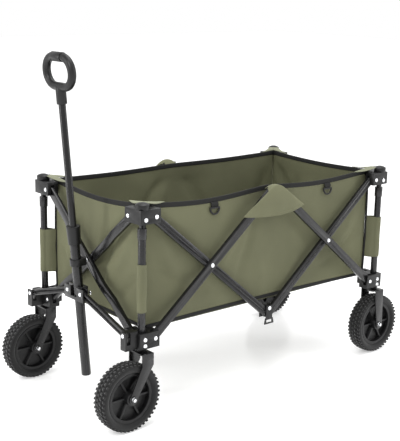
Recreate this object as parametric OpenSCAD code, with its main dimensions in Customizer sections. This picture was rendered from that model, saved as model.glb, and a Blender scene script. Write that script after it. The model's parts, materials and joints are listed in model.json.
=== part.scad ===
// Folding camp wagon: scissor-sided steel frame, telescoping corner posts, fabric basket, two swivel
// casters, two fixed rear wheels and a telescoping pull handle.
// Front is -X, the wagon's left is -Y and the ground is z = 0.

/* [Scissor frame] */
// Length of each side bar from its corner pivot to its middle pivot, and half the length of an end bar
corner_arm = 240; // [200:1:300]
// Length of each side bar from its middle pivot to its centre pivot
centre_arm = 264; // [230:1:330]
// Slope of every scissor bar when the wagon is open, in degrees
bar_angle = 39.5; // [34:0.5:45]
// Height of a scissor bar's tube
bar_h = 22; // [18:1:26]
// Thickness of a scissor bar's tube
bar_t = 10; // [8:0.5:12]
// Wall of a scissor bar's tube
bar_wall = 1.2; // [0.8:0.1:2]
// Distance of a side pivot from the post's axis, along the wagon
pivot_inset_x = 32; // [30:1:45]
// Distance of an end pivot from the post's axis, across the wagon
pivot_inset_y = 36; // [34:1:48]
// Radius of the rivets that the bars turn on
rivet_r = 3; // [2.5:0.25:4]

/* [Corner posts] */
// Outer diameter of the lower post tube
lower_tube_d = 19; // [17:0.5:20]
// Outer diameter of the upper post tube
upper_tube_d = 14.4; // [12:0.2:15]
// Wall of both post tubes
tube_wall = 1.2; // [1:0.1:1.5]
// Half the thickness of a corner bracket
bracket_half = 16; // [15:0.5:20]
// Height of the guide collar on top of a lower tube
collar_h = 27; // [20:1:35]
// Diameter of the domed cap on a post
cap_d = 34; // [30:1:40]

/* [Wheels] */
// Diameter over the tread
wheel_d = 175; // [150:1:220]
// Width of a tyre
wheel_w = 45; // [35:1:55]
// Distance of a front wheel's axle ahead of its swivel axis
front_trail = 43; // [30:1:50]
// Distance of a rear wheel's axle behind its post
rear_offset = 7; // [0:1:20]
// Radius of a wheel axle
axle_r = 5; // [4:0.5:6]
// Thickness of the fork's sheet steel
fork_t = 3; // [2.5:0.5:4]

/* [Basket] */
// Distance of the basket's walls inboard of the posts
basket_inset = 24; // [22:1:30]
// Thickness of the fabric walls and floor as solids
fabric_t = 3; // [2.5:0.5:5]
// Height of the basket's floor above the ground
floor_z = 237; // [225:1:245]
// Height of the basket's rim above the pivots of the upper brackets
rim_over = 26; // [15:1:30]
// Length of the sleeve that holds a basket corner on its post
sleeve_h = 120; // [60:1:140]

/* [Handle] */
// Lean of the parked handle towards the front, in degrees
handle_lean = 5.2; // [2:0.1:8]
// Distance of the handle's axis ahead of the posts at the hub's height
handle_ahead = 34.5; // [34:0.5:42]
// Height of the hub's pivots above the lower bracket pivots
hub_rise = 74; // [65:1:85]
// Length of the outer handle tube below the hub
handle_below = 233; // [180:1:240]
// Length of the outer handle tube above the hub
handle_above = 175; // [140:1:200]
// Outer diameter of the outer handle tube
outer_d = 25; // [22:0.5:28]
// Outer diameter of the inner handle tube
inner_d = 18; // [15:0.5:20]
// Length of inner handle tube that shows when it is pulled out
inner_shown = 310; // [270:1:350]
// Width of the ring grip between the centres of its sides
grip_w = 112; // [90:1:130]
// Height of the ring grip between the centres of its bars
grip_h = 72; // [64:1:84]

/* [Hidden] */
$fn = 48;
run = 0.1; // radial clearance of what turns or slides on what
seat = 0.05; // gap between a fixed piece and its seat
gap = 0.5; // side clearance between pieces that pass each other
head_over = 2.4; // how far a rivet's head reaches past its shank
head_h = 2.4; // height of a rivet's head
layer = bar_t / 2 + gap; // distance of a bar layer's middle from the post plane
centre_half = bar_h / 2 + 1; // half the distance between the two pivots of a centre bracket
end_pad = bar_h / 2 + 1; // length of a bracket's arm past its pivot
half_x = (corner_arm + centre_arm) * cos(bar_angle) + pivot_inset_x + centre_half;
half_y = corner_arm * cos(bar_angle) + pivot_inset_y;

bracket_drop = 22; // depth of a lower bracket under its pivots
bracket_up = 18; // height of a lower bracket over its pivots
crown_gap = 18; // room between a tyre and the fork's crown
boss_h = 7; // height of the bearing boss under a lower bracket
crown_z = wheel_d + crown_gap + fork_t; // top of the fork's crown
boss_z = crown_z + 1; // lower face of the bearing boss
bracket_z = boss_z + boss_h; // lower face of a lower bracket
lower_z = bracket_z + bracket_drop;
upper_z = lower_z + 2 * corner_arm * sin(bar_angle);
mid_z = lower_z + corner_arm * sin(bar_angle);
centre_low_z = lower_z + (corner_arm - centre_arm) * sin(bar_angle);
centre_up_z = lower_z + (corner_arm + centre_arm) * sin(bar_angle);

cap_up = 20; // height of an upper bracket over its pivots
cap_drop = 15; // depth of an upper bracket under its pivots
collar_top = upper_z - cap_drop - 11; // top of the guide collar
collar_roof = 5; // thickness of the collar over the lower tube's end
lower_tube_top = collar_top - collar_roof;
lower_tube_foot = bracket_z + 4;
upper_tube_foot = lower_tube_foot + 100;
upper_tube_top = upper_z + 9;
collar_r = lower_tube_d / 2 + 1.8;

rim_z = upper_z + rim_over;
basket_x = half_x - basket_inset;
basket_y = half_y - basket_inset;
sleeve_z = lower_z + 68; // lower edge of a post sleeve
cloth_gap = 0.3; // gap between a fabric solid and its neighbours
sleeve_r = lower_tube_d / 2 + cloth_gap; // inner radius of a post sleeve

wheel_r = wheel_d / 2;
rim_r = 65; // radius of the seat between rim and tyre
rim_w = 34;
ribs = 6; // ribs on a rim's web
fork_half = wheel_w / 2 + 3; // inner face of a fork leg from the wheel's middle
stem_r = 6;
bolt_head_r = 7; // radius of the axle bolt's heads
bolt_head_h = 5;

link_h = 16; // height of a hub link's tube
link_x = handle_ahead + outer_d / 2 - 4.5; // hub links' plane ahead of the posts
ear_y = 6; // distance of a hub link's pivot inboard of the post
ear_z = lower_z + 17;
hub_z = lower_z + hub_rise;
hub_half = 29; // distance of the hub's link pivots from its middle
link_dy = half_y - ear_y - hub_half;
link_dz = hub_z - ear_z;
link_len = sqrt(link_dy * link_dy + link_dz * link_dz);
link_angle = atan2(link_dz, link_dy);
hub_front = handle_ahead + outer_d / 2 + 1; // rear face of the hub's front plate
trunnion_r = 4;

tube_t = 1.5; // wall of the outer handle tube
grip_r = 10.5;
socket_depth = 16; // length of inner tube inside the grip's socket
socket_over = 26; // height of the grip's lower bar over the inner tube's end
inner_top = handle_above + inner_shown + socket_depth;
inner_foot = handle_above - 55;
grip_z = inner_top + socket_over + grip_h / 2;

// the origin is moved along X to the middle of the whole wagon's length
shift_x = (front_trail - rear_offset) / 2;

CORNERS = [["front_left", -1, -1], ["front_right", -1, 1], ["rear_left", 1, -1], ["rear_right", 1, 1]];
SIDES = [["left", -1], ["right", 1]];
ENDS = [["front", -1], ["rear", 1]];

// Puts a piece in a corner's own frame: +X and +Y point inboard from the post's axis.
module at_corner(sx, sy) {
    translate([shift_x + sx * half_x, sy * half_y, 0])
        mirror([sx > 0 ? 1 : 0, 0, 0])
            mirror([0, sy > 0 ? 1 : 0, 0])
                children();
}

// Puts a piece in a side's own frame: x = 0 is the wagon's middle, +Y points inboard from the post plane.
module at_side(sy) {
    translate([shift_x, sy * half_y, 0])
        mirror([0, sy > 0 ? 1 : 0, 0])
            children();
}

// Puts a piece in an end's own frame: +X points inboard from the post plane, y = 0 is the wagon's middle.
module at_end(sx) {
    translate([shift_x + sx * half_x, 0, 0])
        mirror([sx > 0 ? 1 : 0, 0, 0])
            children();
}

// Puts a piece on the parked handle's axis, with the hub's pivot at the origin.
module on_handle() {
    translate([shift_x - half_x - handle_ahead, 0, hub_z])
        rotate([0, -handle_lean, 0])
            children();
}

// Box given by its lowest and highest corners.
module block(lo, hi) {
    translate(lo)
        cube(hi - lo);
}

// Round bar along Y from y0 to y1.
module rod_y(r, y0, y1) {
    translate([0, y0, 0])
        rotate([-90, 0, 0])
            cylinder(r = r, h = y1 - y0);
}

// Round bar along X from x0 to x1.
module rod_x(r, x0, x1) {
    translate([x0, 0, 0])
        rotate([0, 90, 0])
            cylinder(r = r, h = x1 - x0);
}

// Rivet along Z from z0 to z1 between its two low heads.
module rivet(r, z0, z1) {
    head_r = r + head_over;
    translate([0, 0, z0])
        cylinder(r = r, h = z1 - z0);
    translate([0, 0, z1])
        cylinder(r1 = head_r, r2 = head_r - 2, h = head_h);
    translate([0, 0, z0 - head_h])
        cylinder(r1 = head_r - 2, r2 = head_r, h = head_h);
}

module rivet_y(r, y0, y1) {
    translate([0, y0, 0])
        rotate([-90, 0, 0])
            rivet(r, 0, y1 - y0);
}

module rivet_x(r, x0, x1) {
    translate([x0, 0, 0])
        rotate([0, 90, 0])
            rivet(r, 0, x1 - x0);
}

// Solid shape of a bar from pivot to pivot along X, with round ends, "in" smaller on every side.
module bar_body(length, h, t, in) {
    block([0, in - t / 2, in - h / 2], [length, t / 2 - in, h / 2 - in]);
    for (x = [0, length])
        translate([x, 0, 0])
            rod_y(h / 2 - in, in - t / 2, t / 2 - in);
}

// Tube bar from pivot to pivot along X, with a rivet hole at each distance in "holes".
module tube_bar(length, h, t, holes) {
    difference() {
        bar_body(length, h, t, 0);
        bar_body(length, h, t, bar_wall);
        for (x = holes)
            translate([x, 0, 0])
                rod_y(rivet_r + run, -t, t);
    }
}

// Solid shape of an end bar: it steps aside by "step" over its middle, "in" smaller on every side.
module stepped_body(length, step, in) {
    near = 90; // straight middle on each side of the crossing
    far = 135; // where the step ends
    half = bar_t / 2 - in;
    m = length / 2;
    edge = [[0, 0], [m - far, 0], [m - near, step], [m + near, step], [m + far, 0], [length, 0]];
    translate([0, 0, in - bar_h / 2])
        linear_extrude(bar_h - 2 * in)
            polygon(concat(
                [for (p = edge) [p[0], p[1] + half]],
                [for (i = [len(edge) - 1 : -1 : 0]) [edge[i][0], edge[i][1] - half]]
            ));
    for (x = [0, length])
        translate([x, 0, 0])
            rod_y(bar_h / 2 - in, -half, half);
}

// Corner bracket's outline as a solid: a core round the post and one arm to each pivot.
module bracket_body(z0, z1) {
    block([-bracket_half, -bracket_half, z0], [pivot_inset_x + end_pad, bracket_half, z1]);
    block([-bracket_half, -bracket_half, z0], [bracket_half, pivot_inset_y + end_pad, z1]);
}

// Pocket for a bar's end at a side pivot, in the layer at distance y from the post plane.
module side_pocket(y, z0, z1) {
    x0 = pivot_inset_x - bar_h / 2 - 0.8;
    block([x0, y - bar_t / 2 - gap, z0], [pivot_inset_x + end_pad + 1, y + bar_t / 2 + gap, z1]);
}

// Pocket for a bar's end at an end pivot.
module end_pocket(z0, z1) {
    y0 = pivot_inset_y - bar_h / 2 - 0.8;
    block([-bar_t / 2 - gap, y0, z0], [bar_t / 2 + gap, pivot_inset_y + end_pad + 1, z1]);
}

// The two pivot rivets of a bracket at height z. grow widens them into their holes.
module pivot_rivets(z, grow) {
    side = bracket_half + seat;
    translate([pivot_inset_x, 0, z])
        rivet_y(rivet_r + grow, -side, side);
    translate([0, pivot_inset_y, z])
        rivet_x(rivet_r + grow, -side, side);
}

module pivot_holes(z) {
    translate([pivot_inset_x, 0, z])
        rod_y(rivet_r + seat, -2 * bracket_half, 2 * bracket_half);
    translate([0, pivot_inset_y, z])
        rod_x(rivet_r + seat, -2 * bracket_half, 2 * bracket_half);
}

// Heights of the rivets that fix a post in its bracket
lower_post_rivets = [lower_z + 2, lower_z - 14];
upper_post_rivets = [upper_z - 4];
post_rivet_r = 2.5;

module post_rivets(heights) {
    for (z = heights)
        translate([0, 0, z])
            rivet_y(post_rivet_r, -bracket_half - seat, bracket_half + seat);
}

module post_rivet_holes(heights) {
    for (z = heights)
        translate([0, 0, z])
            rod_y(post_rivet_r + seat, -2 * bracket_half, 2 * bracket_half);
}

// Open jaw ahead of a front lower bracket, for the end of a hub link.
module link_ear() {
    front = link_x + bar_t / 2 + gap;
    back = link_x - bar_t / 2 - gap;
    z0 = bracket_z + 2;
    z1 = ear_z + link_h / 2 + 1;
    block([-front - 4, ear_y - 12, z0], [-front, ear_y + 9, z1]);
    block([-back, ear_y - 12, z0], [-bracket_half, ear_y + 9, z1]);
    block([-front - 1, ear_y - 12, z0], [-back + 1, ear_y + 9, ear_z - link_h / 2 - 14]);
}

module lower_bracket(sx, sy) {
    pocket_floor = lower_z - bar_h / 2 - gap;
    top = lower_z + bracket_up;
    front = link_x + bar_t / 2 + gap;
    color("#1c1c1d")
        at_corner(sx, sy)
            difference() {
                union() {
                    bracket_body(bracket_z, top);
                    translate([0, 0, boss_z])
                        cylinder(r = 13, h = boss_h + 1);
                    if (sx < 0)
                        link_ear();
                }
                side_pocket(-layer, pocket_floor, top + 1);
                end_pocket(pocket_floor, top + 1);
                translate([0, 0, lower_tube_foot - seat])
                    cylinder(r = lower_tube_d / 2 + seat, h = 60);
                translate([0, 0, boss_z - 1])
                    cylinder(r = stem_r + run, h = 20);
                pivot_holes(lower_z);
                post_rivet_holes(lower_post_rivets);
                if (sx < 0)
                    translate([0, ear_y, ear_z])
                        rod_x(rivet_r + seat, -front - 6, -bracket_half + 3);
            }
    color("#c9cacc")
        at_corner(sx, sy) {
            pivot_rivets(lower_z, 0);
            post_rivets(lower_post_rivets);
            if (sx < 0)
                link_ear_rivet(sy < 0);
        }
}

// Rivet of a hub link's jaw. It passes through the left link; on the right it stays in the front cheek,
// because that pivot is where the closed linkage is opened.
module link_ear_rivet(through) {
    front = link_x + bar_t / 2 + gap + 4 + seat;
    back = through ? bracket_half - 2 : front - 4;
    translate([0, ear_y, ear_z]) {
        rod_x(rivet_r, -front, -back);
        translate([-front, 0, 0])
            rotate([0, -90, 0])
                cylinder(r1 = rivet_r + head_over, r2 = rivet_r + head_over - 2, h = head_h);
    }
}

// Lower post tube with its guide collar.
module lower_post(sx, sy) {
    color("#19191a")
        at_corner(sx, sy)
            difference() {
                translate([0, 0, lower_tube_foot])
                    cylinder(d = lower_tube_d, h = lower_tube_top - lower_tube_foot);
                translate([0, 0, lower_tube_foot - 1])
                    cylinder(d = lower_tube_d - 2 * tube_wall, h = lower_tube_top - lower_tube_foot + 2);
                post_rivet_holes(lower_post_rivets);
            }
    color("#222223")
        at_corner(sx, sy)
            difference() {
                translate([0, 0, collar_top - collar_h])
                    cylinder(r = collar_r, h = collar_h);
                translate([0, 0, collar_top - collar_h - 1])
                    cylinder(r = lower_tube_d / 2 + seat, h = collar_h + 1 - collar_roof + seat);
                translate([0, 0, collar_top - collar_h])
                    cylinder(r = upper_tube_d / 2 + run, h = collar_h + 1);
            }
}

// Upper bracket with its domed post cap.
module upper_bracket(sx, sy) {
    pocket_roof = upper_z + bar_h / 2 + gap;
    bottom = upper_z - cap_drop;
    top = upper_z + cap_up;
    color("#1c1c1d")
        at_corner(sx, sy)
            difference() {
                bracket_body(bottom, top);
                side_pocket(layer, bottom - 1, pocket_roof);
                end_pocket(bottom - 1, pocket_roof);
                translate([0, 0, bottom - 1])
                    cylinder(r = upper_tube_d / 2 + seat, h = upper_tube_top - bottom + 1 + seat);
                pivot_holes(upper_z);
                post_rivet_holes(upper_post_rivets);
            }
    color("#232324")
        at_corner(sx, sy)
            translate([0, 0, top + seat])
                rotate_extrude()
                    intersection() {
                        translate([0, -12])
                            circle(r = 29, $fn = 96);
                        square([cap_d / 2, 20]);
                    }
    color("#c9cacc")
        at_corner(sx, sy) {
            pivot_rivets(upper_z, 0);
            post_rivets(upper_post_rivets);
        }
}

module upper_post(sx, sy) {
    color("#161617")
        at_corner(sx, sy)
            difference() {
                translate([0, 0, upper_tube_foot])
                    cylinder(d = upper_tube_d, h = upper_tube_top - upper_tube_foot);
                translate([0, 0, upper_tube_foot - 1])
                    cylinder(d = upper_tube_d - 2 * tube_wall, h = upper_tube_top - upper_tube_foot + 2);
                post_rivet_holes(upper_post_rivets);
            }
}

// Outer side bar: from a lower corner up to the upper centre. It carries the middle rivet.
module rise_bar(sx, sy) {
    color("#202021")
        at_corner(sx, sy)
            translate([pivot_inset_x, -layer, lower_z])
                rotate([0, -bar_angle, 0])
                    tube_bar(corner_arm + centre_arm, bar_h, bar_t, [0, corner_arm, corner_arm + centre_arm]);
    color("#c9cacc")
        at_corner(sx, sy)
            translate([pivot_inset_x + corner_arm * cos(bar_angle), 0, mid_z])
                rivet_y(rivet_r, -layer - bar_t / 2 - seat, layer + bar_t / 2 + seat);
}

// Inner side bar: from an upper corner down to the lower centre.
module fall_bar(sx, sy) {
    color("#202021")
        at_corner(sx, sy)
            translate([pivot_inset_x, layer, upper_z])
                rotate([0, bar_angle, 0])
                    tube_bar(corner_arm + centre_arm, bar_h, bar_t, [0, corner_arm, corner_arm + centre_arm]);
}

// Backing plate and pins that join the lower ends of two fall bars, with the strap loop in front.
module lower_centre(sy) {
    back = layer + bar_t / 2 + gap;
    front = layer - bar_t / 2 - gap; // rear face of the strap plate
    plate = 3;
    slot_w = 21; // width of the strap loop's slot
    foot = centre_low_z - bar_h / 2 - 1;
    reach = centre_half + 11;
    color("#18181a")
        at_side(sy) {
            difference() {
                union() {
                    block([-reach, back, foot - plate], [reach, back + plate, foot + 28]);
                    block([-11, front - plate, foot - plate], [11, back + plate, foot]);
                    block([-11, front - plate, foot - 8], [11, front, centre_low_z + 17]);
                    translate([0, front, 0])
                        rotate([90, 0, 0])
                            linear_extrude(plate)
                                polygon([
                                    [-10, foot - 4], [10, foot - 4], [14, foot - 8], [17, foot - 23],
                                    [-17, foot - 23], [-14, foot - 8]
                                ]);
                }
                block([-slot_w / 2, front - plate - 1, foot - 19.5], [slot_w / 2, front + 1, foot - 11]);
                translate([0, 0, centre_low_z + 9])
                    rod_y(rivet_r + seat, front - 5, front + 1);
            }
            for (x = [-centre_half, centre_half])
                translate([x, 0, centre_low_z])
                    rod_y(rivet_r, front + 0.3, back + 1);
        }
    color("#c9cacc")
        at_side(sy)
            translate([0, 0, centre_low_z + 9]) {
                rod_y(rivet_r, front - plate - seat, front);
                translate([0, front - plate - seat, 0])
                    rotate([90, 0, 0])
                        cylinder(r1 = rivet_r + head_over, r2 = rivet_r + head_over - 2, h = head_h);
            }
}

// Backing plate and pins that join the upper ends of two rise bars.
module upper_centre(sy) {
    back = -layer + bar_t / 2 + gap; // outer face of the backing plate
    front = -layer - bar_t / 2 - gap;
    plate = 3;
    reach = centre_half + 11;
    color("#18181a")
        at_side(sy) {
            block([-reach, back, centre_up_z - 14], [reach, back + plate, centre_up_z + 10]);
            for (x = [-centre_half, centre_half])
                translate([x, 0, centre_up_z]) {
                    rod_y(rivet_r, front, back + 1);
                    translate([0, front, 0])
                        rotate([90, 0, 0])
                            cylinder(r1 = rivet_r + head_over, r2 = rivet_r + head_over - 2, h = head_h);
                }
        }
}

// End bar from a lower corner at one side up to the other side. Bar a rises to the right and carries the
// crossing rivet; bar b rises to the left.
module end_bar(sx, is_a) {
    dir = is_a ? 1 : -1;
    step = bar_t / 2 + 0.6;
    span = corner_arm * cos(bar_angle);
    color("#202021")
        at_end(sx)
            translate([0, -dir * span, lower_z])
                rotate([0, 0, dir * 90])
                    rotate([0, -bar_angle, 0])
                        difference() {
                            stepped_body(2 * corner_arm, step, 0);
                            stepped_body(2 * corner_arm, step, bar_wall);
                            for (x = [0, corner_arm, 2 * corner_arm])
                                translate([x, 0, 0])
                                    rod_y(rivet_r + run, -3 * bar_t, 3 * bar_t);
                        }
    if (is_a)
        color("#c9cacc")
            at_end(sx)
                translate([0, 0, mid_z])
                    rivet_x(rivet_r, -step - bar_t / 2 - seat, step + bar_t / 2 + seat);
}

// U fork of sheet steel with its stem and the wheel's axle bolt. reach is the axle's distance outboard.
module fork(sx, sy) {
    reach = sx < 0 ? front_trail : rear_offset;
    crown_half = 17;
    crown_y = fork_half + fork_t;
    boss = 12;
    color("#1d1d1e")
        at_corner(sx, sy)
            difference() {
                union() {
                    block([-crown_half, -crown_y, crown_z - fork_t], [crown_half, crown_y, crown_z]);
                    for (y = [-crown_y, fork_half])
                        translate([0, y + fork_t, 0])
                            rotate([90, 0, 0])
                                linear_extrude(fork_t) {
                                    polygon([
                                        [-crown_half, crown_z], [crown_half, crown_z],
                                        [crown_half, crown_z - 30], [boss - reach, wheel_r],
                                        [-boss - reach, wheel_r], [-crown_half, crown_z - 30]
                                    ]);
                                    translate([-reach, wheel_r])
                                        circle(r = boss);
                                }
                    translate([0, 0, crown_z - 1])
                        cylinder(r = stem_r, h = boss_h + 5);
                    translate([0, 0, crown_z - fork_t - 6])
                        cylinder(r = stem_r + 4, h = 7);
                }
                translate([-reach, 0, wheel_r])
                    rod_y(axle_r + seat, -50, 50);
            }
    color("#d0d1d3")
        at_corner(sx, sy)
            translate([-reach, 0, wheel_r]) {
                side = fork_half + fork_t + seat;
                rod_y(axle_r, -side, side);
                for (m = [0, 1])
                    mirror([0, m, 0])
                        rod_y(bolt_head_r, side, side + bolt_head_h);
            }
}

// Moulded wheel rim with its hub, and a closed web stiffened by ribs.
module wheel_rim(sx, sy) {
    reach = sx < 0 ? front_trail : rear_offset;
    hub_r = 17;
    ring = 9;
    web = 4;
    rib_t = 5;
    rib_w = 22;
    color("#161617")
        at_corner(sx, sy)
            translate([-reach, 0, wheel_r])
                rotate([90, 0, 0])
                    difference() {
                        union() {
                            difference() {
                                cylinder(r = rim_r, h = rim_w, center = true, $fn = 96);
                                cylinder(r = rim_r - ring, h = rim_w + 2, center = true, $fn = 96);
                            }
                            cylinder(r = hub_r, h = 2 * fork_half - 1, center = true);
                            cylinder(r = rim_r - ring + 1, h = web, center = true, $fn = 96);
                            for (i = [0 : ribs - 1])
                                rotate([0, 0, i * 360 / ribs])
                                    translate([hub_r - 2, -rib_t / 2, -rib_w / 2])
                                        cube([rim_r - ring - hub_r + 4, rib_t, rib_w]);
                        }
                        cylinder(r = axle_r + run, h = 80, center = true);
                    }
}

// Tyre ring with rounded shoulders.
module tyre(sx, sy) {
    reach = sx < 0 ? front_trail : rear_offset;
    shoulder = 6;
    h = wheel_w / 2;
    color("#242425")
        at_corner(sx, sy)
            translate([-reach, 0, wheel_r])
                rotate([90, 0, 0])
                    rotate_extrude($fn = 96)
                        polygon([
                            [rim_r + 0.3, -rim_w / 2], [wheel_r - 3 * shoulder, -h], [wheel_r - shoulder, -h],
                            [wheel_r, shoulder - h], [wheel_r, h - shoulder], [wheel_r - shoulder, h],
                            [wheel_r - 3 * shoulder, h], [rim_r + 0.3, rim_w / 2]
                        ]);
}

// Side wall of the basket with the two sleeves that hold its corners on the posts.
module side_fabric(sy) {
    web_start = sleeve_r + fabric_t / 2;
    web_end = basket_inset * sqrt(2) + 0.7 * fabric_t; // within the wall's corner
    color("#6f7150")
        at_side(sy) {
            block(
                [-basket_x, basket_inset, floor_z],
                [basket_x, basket_inset + fabric_t, rim_z]
            );
            for (sx = [-1, 1])
                translate([sx * half_x, 0, sleeve_z]) {
                    difference() {
                        cylinder(r = sleeve_r + fabric_t, h = sleeve_h);
                        translate([0, 0, -1])
                            cylinder(r = sleeve_r, h = sleeve_h + 2);
                    }
                    rotate([0, 0, sx < 0 ? 45 : 135])
                        block([web_start, -fabric_t / 2, 2], [web_end, fabric_t / 2, sleeve_h - 2]);
                }
        }
}

// End wall of the basket, between the two side walls.
module end_fabric(sx) {
    y = basket_y - fabric_t - cloth_gap;
    color("#6f7150")
        at_end(sx)
            block([basket_inset, -y, floor_z], [basket_inset + fabric_t, y, rim_z]);
}

// One half of the basket's floor, from its side wall to the middle.
module floor_fabric(sy) {
    x = basket_x - fabric_t - cloth_gap;
    y = basket_inset + fabric_t + cloth_gap;
    color("#5f6145")
        at_side(sy)
            block([-x, y, floor_z], [x, half_y - cloth_gap, floor_z + fabric_t]);
}

// Triangular fabric flap over an upper centre joint.
module flap(sy) {
    front = -layer - bar_t / 2 - gap - head_h - cloth_gap; // inner face, clear of the pins' heads
    color("#83855f")
        at_side(sy)
            translate([0, front, 0])
                rotate([90, 0, 0])
                    linear_extrude(fabric_t)
                        polygon([
                            [-12, rim_z - 4], [12, rim_z - 4], [104, rim_z - 62],
                            [60, rim_z - 74], [-60, rim_z - 74], [-104, rim_z - 62]
                        ]);
}

// Inclined tube from a front lower bracket's jaw to the hub. The two hub pins are the hub's own.
module hub_link(sy) {
    color("#2a2a2b")
        at_corner(-1, sy)
            translate([-link_x, ear_y, ear_z])
                rotate([0, 0, 90])
                    rotate([0, -link_angle, 0])
                        tube_bar(link_len, link_h, bar_t, [0, link_len]);
}

// Hub that the handle tilts in: front plate with two ears for the links, cheeks with trunnion bores.
module handle_hub() {
    back = link_x - bar_t / 2 - gap; // front face of the rear ears
    plate = 3;
    ear = hub_half + 13;
    throat = outer_d / 2 + 0.9;
    rear = handle_ahead - outer_d / 2 - 4;
    rise = 14;
    color("#1b1b1c")
        translate([shift_x - half_x, 0, hub_z])
            difference() {
                union() {
                    block([-hub_front - plate, -ear, -rise - 6], [-hub_front, ear, rise]);
                    for (m = [0, 1])
                        mirror([0, m, 0]) {
                            block([-back, throat, -rise], [plate - back, ear, rise]);
                            block([-hub_front - 1, throat, -rise], [-rear, throat + 4.3, rise]);
                        }
                    block([-rear - plate, -throat - 4, rise - 3.2], [-rear, throat + 4, rise]);
                }
                block([-hub_front - plate - 1, -throat, -11], [-hub_front + 1, throat, rise + 1]);
                translate([-handle_ahead, 0, 0])
                    rod_y(trunnion_r + run, -40, 40);
                for (y = [-hub_half, hub_half])
                    translate([0, y, 0])
                        rod_x(rivet_r + seat, -hub_front - 6, plate - back + 1);
            }
    color("#c9cacc")
        translate([shift_x - half_x, 0, hub_z])
            for (y = [-hub_half, hub_half])
                translate([0, y, 0])
                    rivet_x(rivet_r, -hub_front - plate - seat, plate - back + seat);
}

// Outer handle tube with the trunnions that turn in the hub.
module handle_outer_tube() {
    throat = outer_d / 2 + 0.9;
    color("#1e1e1f")
        on_handle() {
            difference() {
                translate([0, 0, -handle_below])
                    cylinder(d = outer_d, h = handle_below + handle_above - 5);
                translate([0, 0, -handle_below - 1])
                    cylinder(d = outer_d - 2 * tube_t, h = handle_below + handle_above);
            }
            for (m = [0, 1])
                mirror([0, m, 0])
                    rod_y(trunnion_r, outer_d / 2 - 1, throat + 4);
        }
}

// Plastic collar that closes the outer tube and guides the inner one.
module handle_collar() {
    color("#19191a")
        on_handle()
            difference() {
                translate([0, 0, handle_above - 48])
                    cylinder(r1 = outer_d / 2 + 3.5, r2 = outer_d / 2 + 5.5, h = 48);
                translate([0, 0, handle_above - 49])
                    cylinder(r = outer_d / 2 + seat, h = 44 + seat);
                translate([0, 0, handle_above - 10])
                    cylinder(r = inner_d / 2 + run, h = 20);
            }
}

// Inner handle tube with the slide bush at its foot.
module handle_inner_tube() {
    bush_h = 18;
    color("#161617")
        on_handle()
            difference() {
                union() {
                    translate([0, 0, inner_foot])
                        cylinder(d = inner_d, h = inner_top - inner_foot);
                    translate([0, 0, inner_foot])
                        cylinder(r = outer_d / 2 - tube_t - run, h = bush_h);
                }
                translate([0, 0, inner_foot - 1])
                    cylinder(d = inner_d - 2 * tube_wall, h = inner_top - inner_foot + 2);
            }
}

// Ring grip: two half rings joined by straight bars, a thicker hand bar on top and a socket below.
module handle_grip() {
    straight = grip_w - grip_h;
    color("#202022")
        on_handle()
            difference() {
                union() {
                    translate([0, 0, grip_z]) {
                        for (m = [0, 1])
                            mirror([0, m, 0])
                                translate([0, straight / 2, 0])
                                    rotate([0, 90, 0])
                                        rotate_extrude(angle = 180)
                                            translate([grip_h / 2, 0])
                                                circle(r = grip_r);
                        translate([0, 0, -grip_h / 2])
                            rod_y(grip_r, -straight / 2, straight / 2);
                        translate([0, 0, grip_h / 2])
                            rod_y(grip_r + 1.5, -straight / 2 - 2, straight / 2 + 2);
                    }
                    translate([0, 0, inner_top - socket_depth])
                        cylinder(r = inner_d / 2 + 4, h = socket_depth + socket_over);
                }
                translate([0, 0, inner_top - socket_depth - 1])
                    cylinder(r = inner_d / 2 + seat, h = socket_depth + 1 + seat);
            }
}

// Clip ring round the outer tube that parks the handle against the front crossing.
module handle_clip() {
    clip_h = 18;
    half = outer_d / 2 + 4;
    z = (mid_z - hub_z) / cos(handle_lean);
    color("#131314")
        on_handle()
            translate([0, 0, z])
                difference() {
                    union() {
                        translate([0, 0, -clip_h / 2])
                            cylinder(r = half, h = clip_h);
                        block([0, -half, -clip_h / 2], [half + 4, half, clip_h / 2]);
                    }
                    translate([0, 0, -clip_h])
                        cylinder(r = outer_d / 2 + seat, h = 2 * clip_h);
                }
}

for (c = CORNERS) {
    lower_bracket(c[1], c[2]);
    lower_post(c[1], c[2]);
    upper_bracket(c[1], c[2]);
    upper_post(c[1], c[2]);
    rise_bar(c[1], c[2]);
    fall_bar(c[1], c[2]);
    fork(c[1], c[2]);
    wheel_rim(c[1], c[2]);
    tyre(c[1], c[2]);
}
for (s = SIDES) {
    lower_centre(s[1]);
    upper_centre(s[1]);
    hub_link(s[1]);
    side_fabric(s[1]);
    floor_fabric(s[1]);
    flap(s[1]);
}
for (e = ENDS) {
    end_bar(e[1], true);
    end_bar(e[1], false);
    end_fabric(e[1]);
}
handle_hub();
handle_outer_tube();
handle_collar();
handle_inner_tube();
handle_grip();
handle_clip();
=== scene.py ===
"""Folding camp wagon: fabric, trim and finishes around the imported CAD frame."""
import json
import math

import bmesh
import bpy
from mathutils import Matrix, Vector, noise


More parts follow.
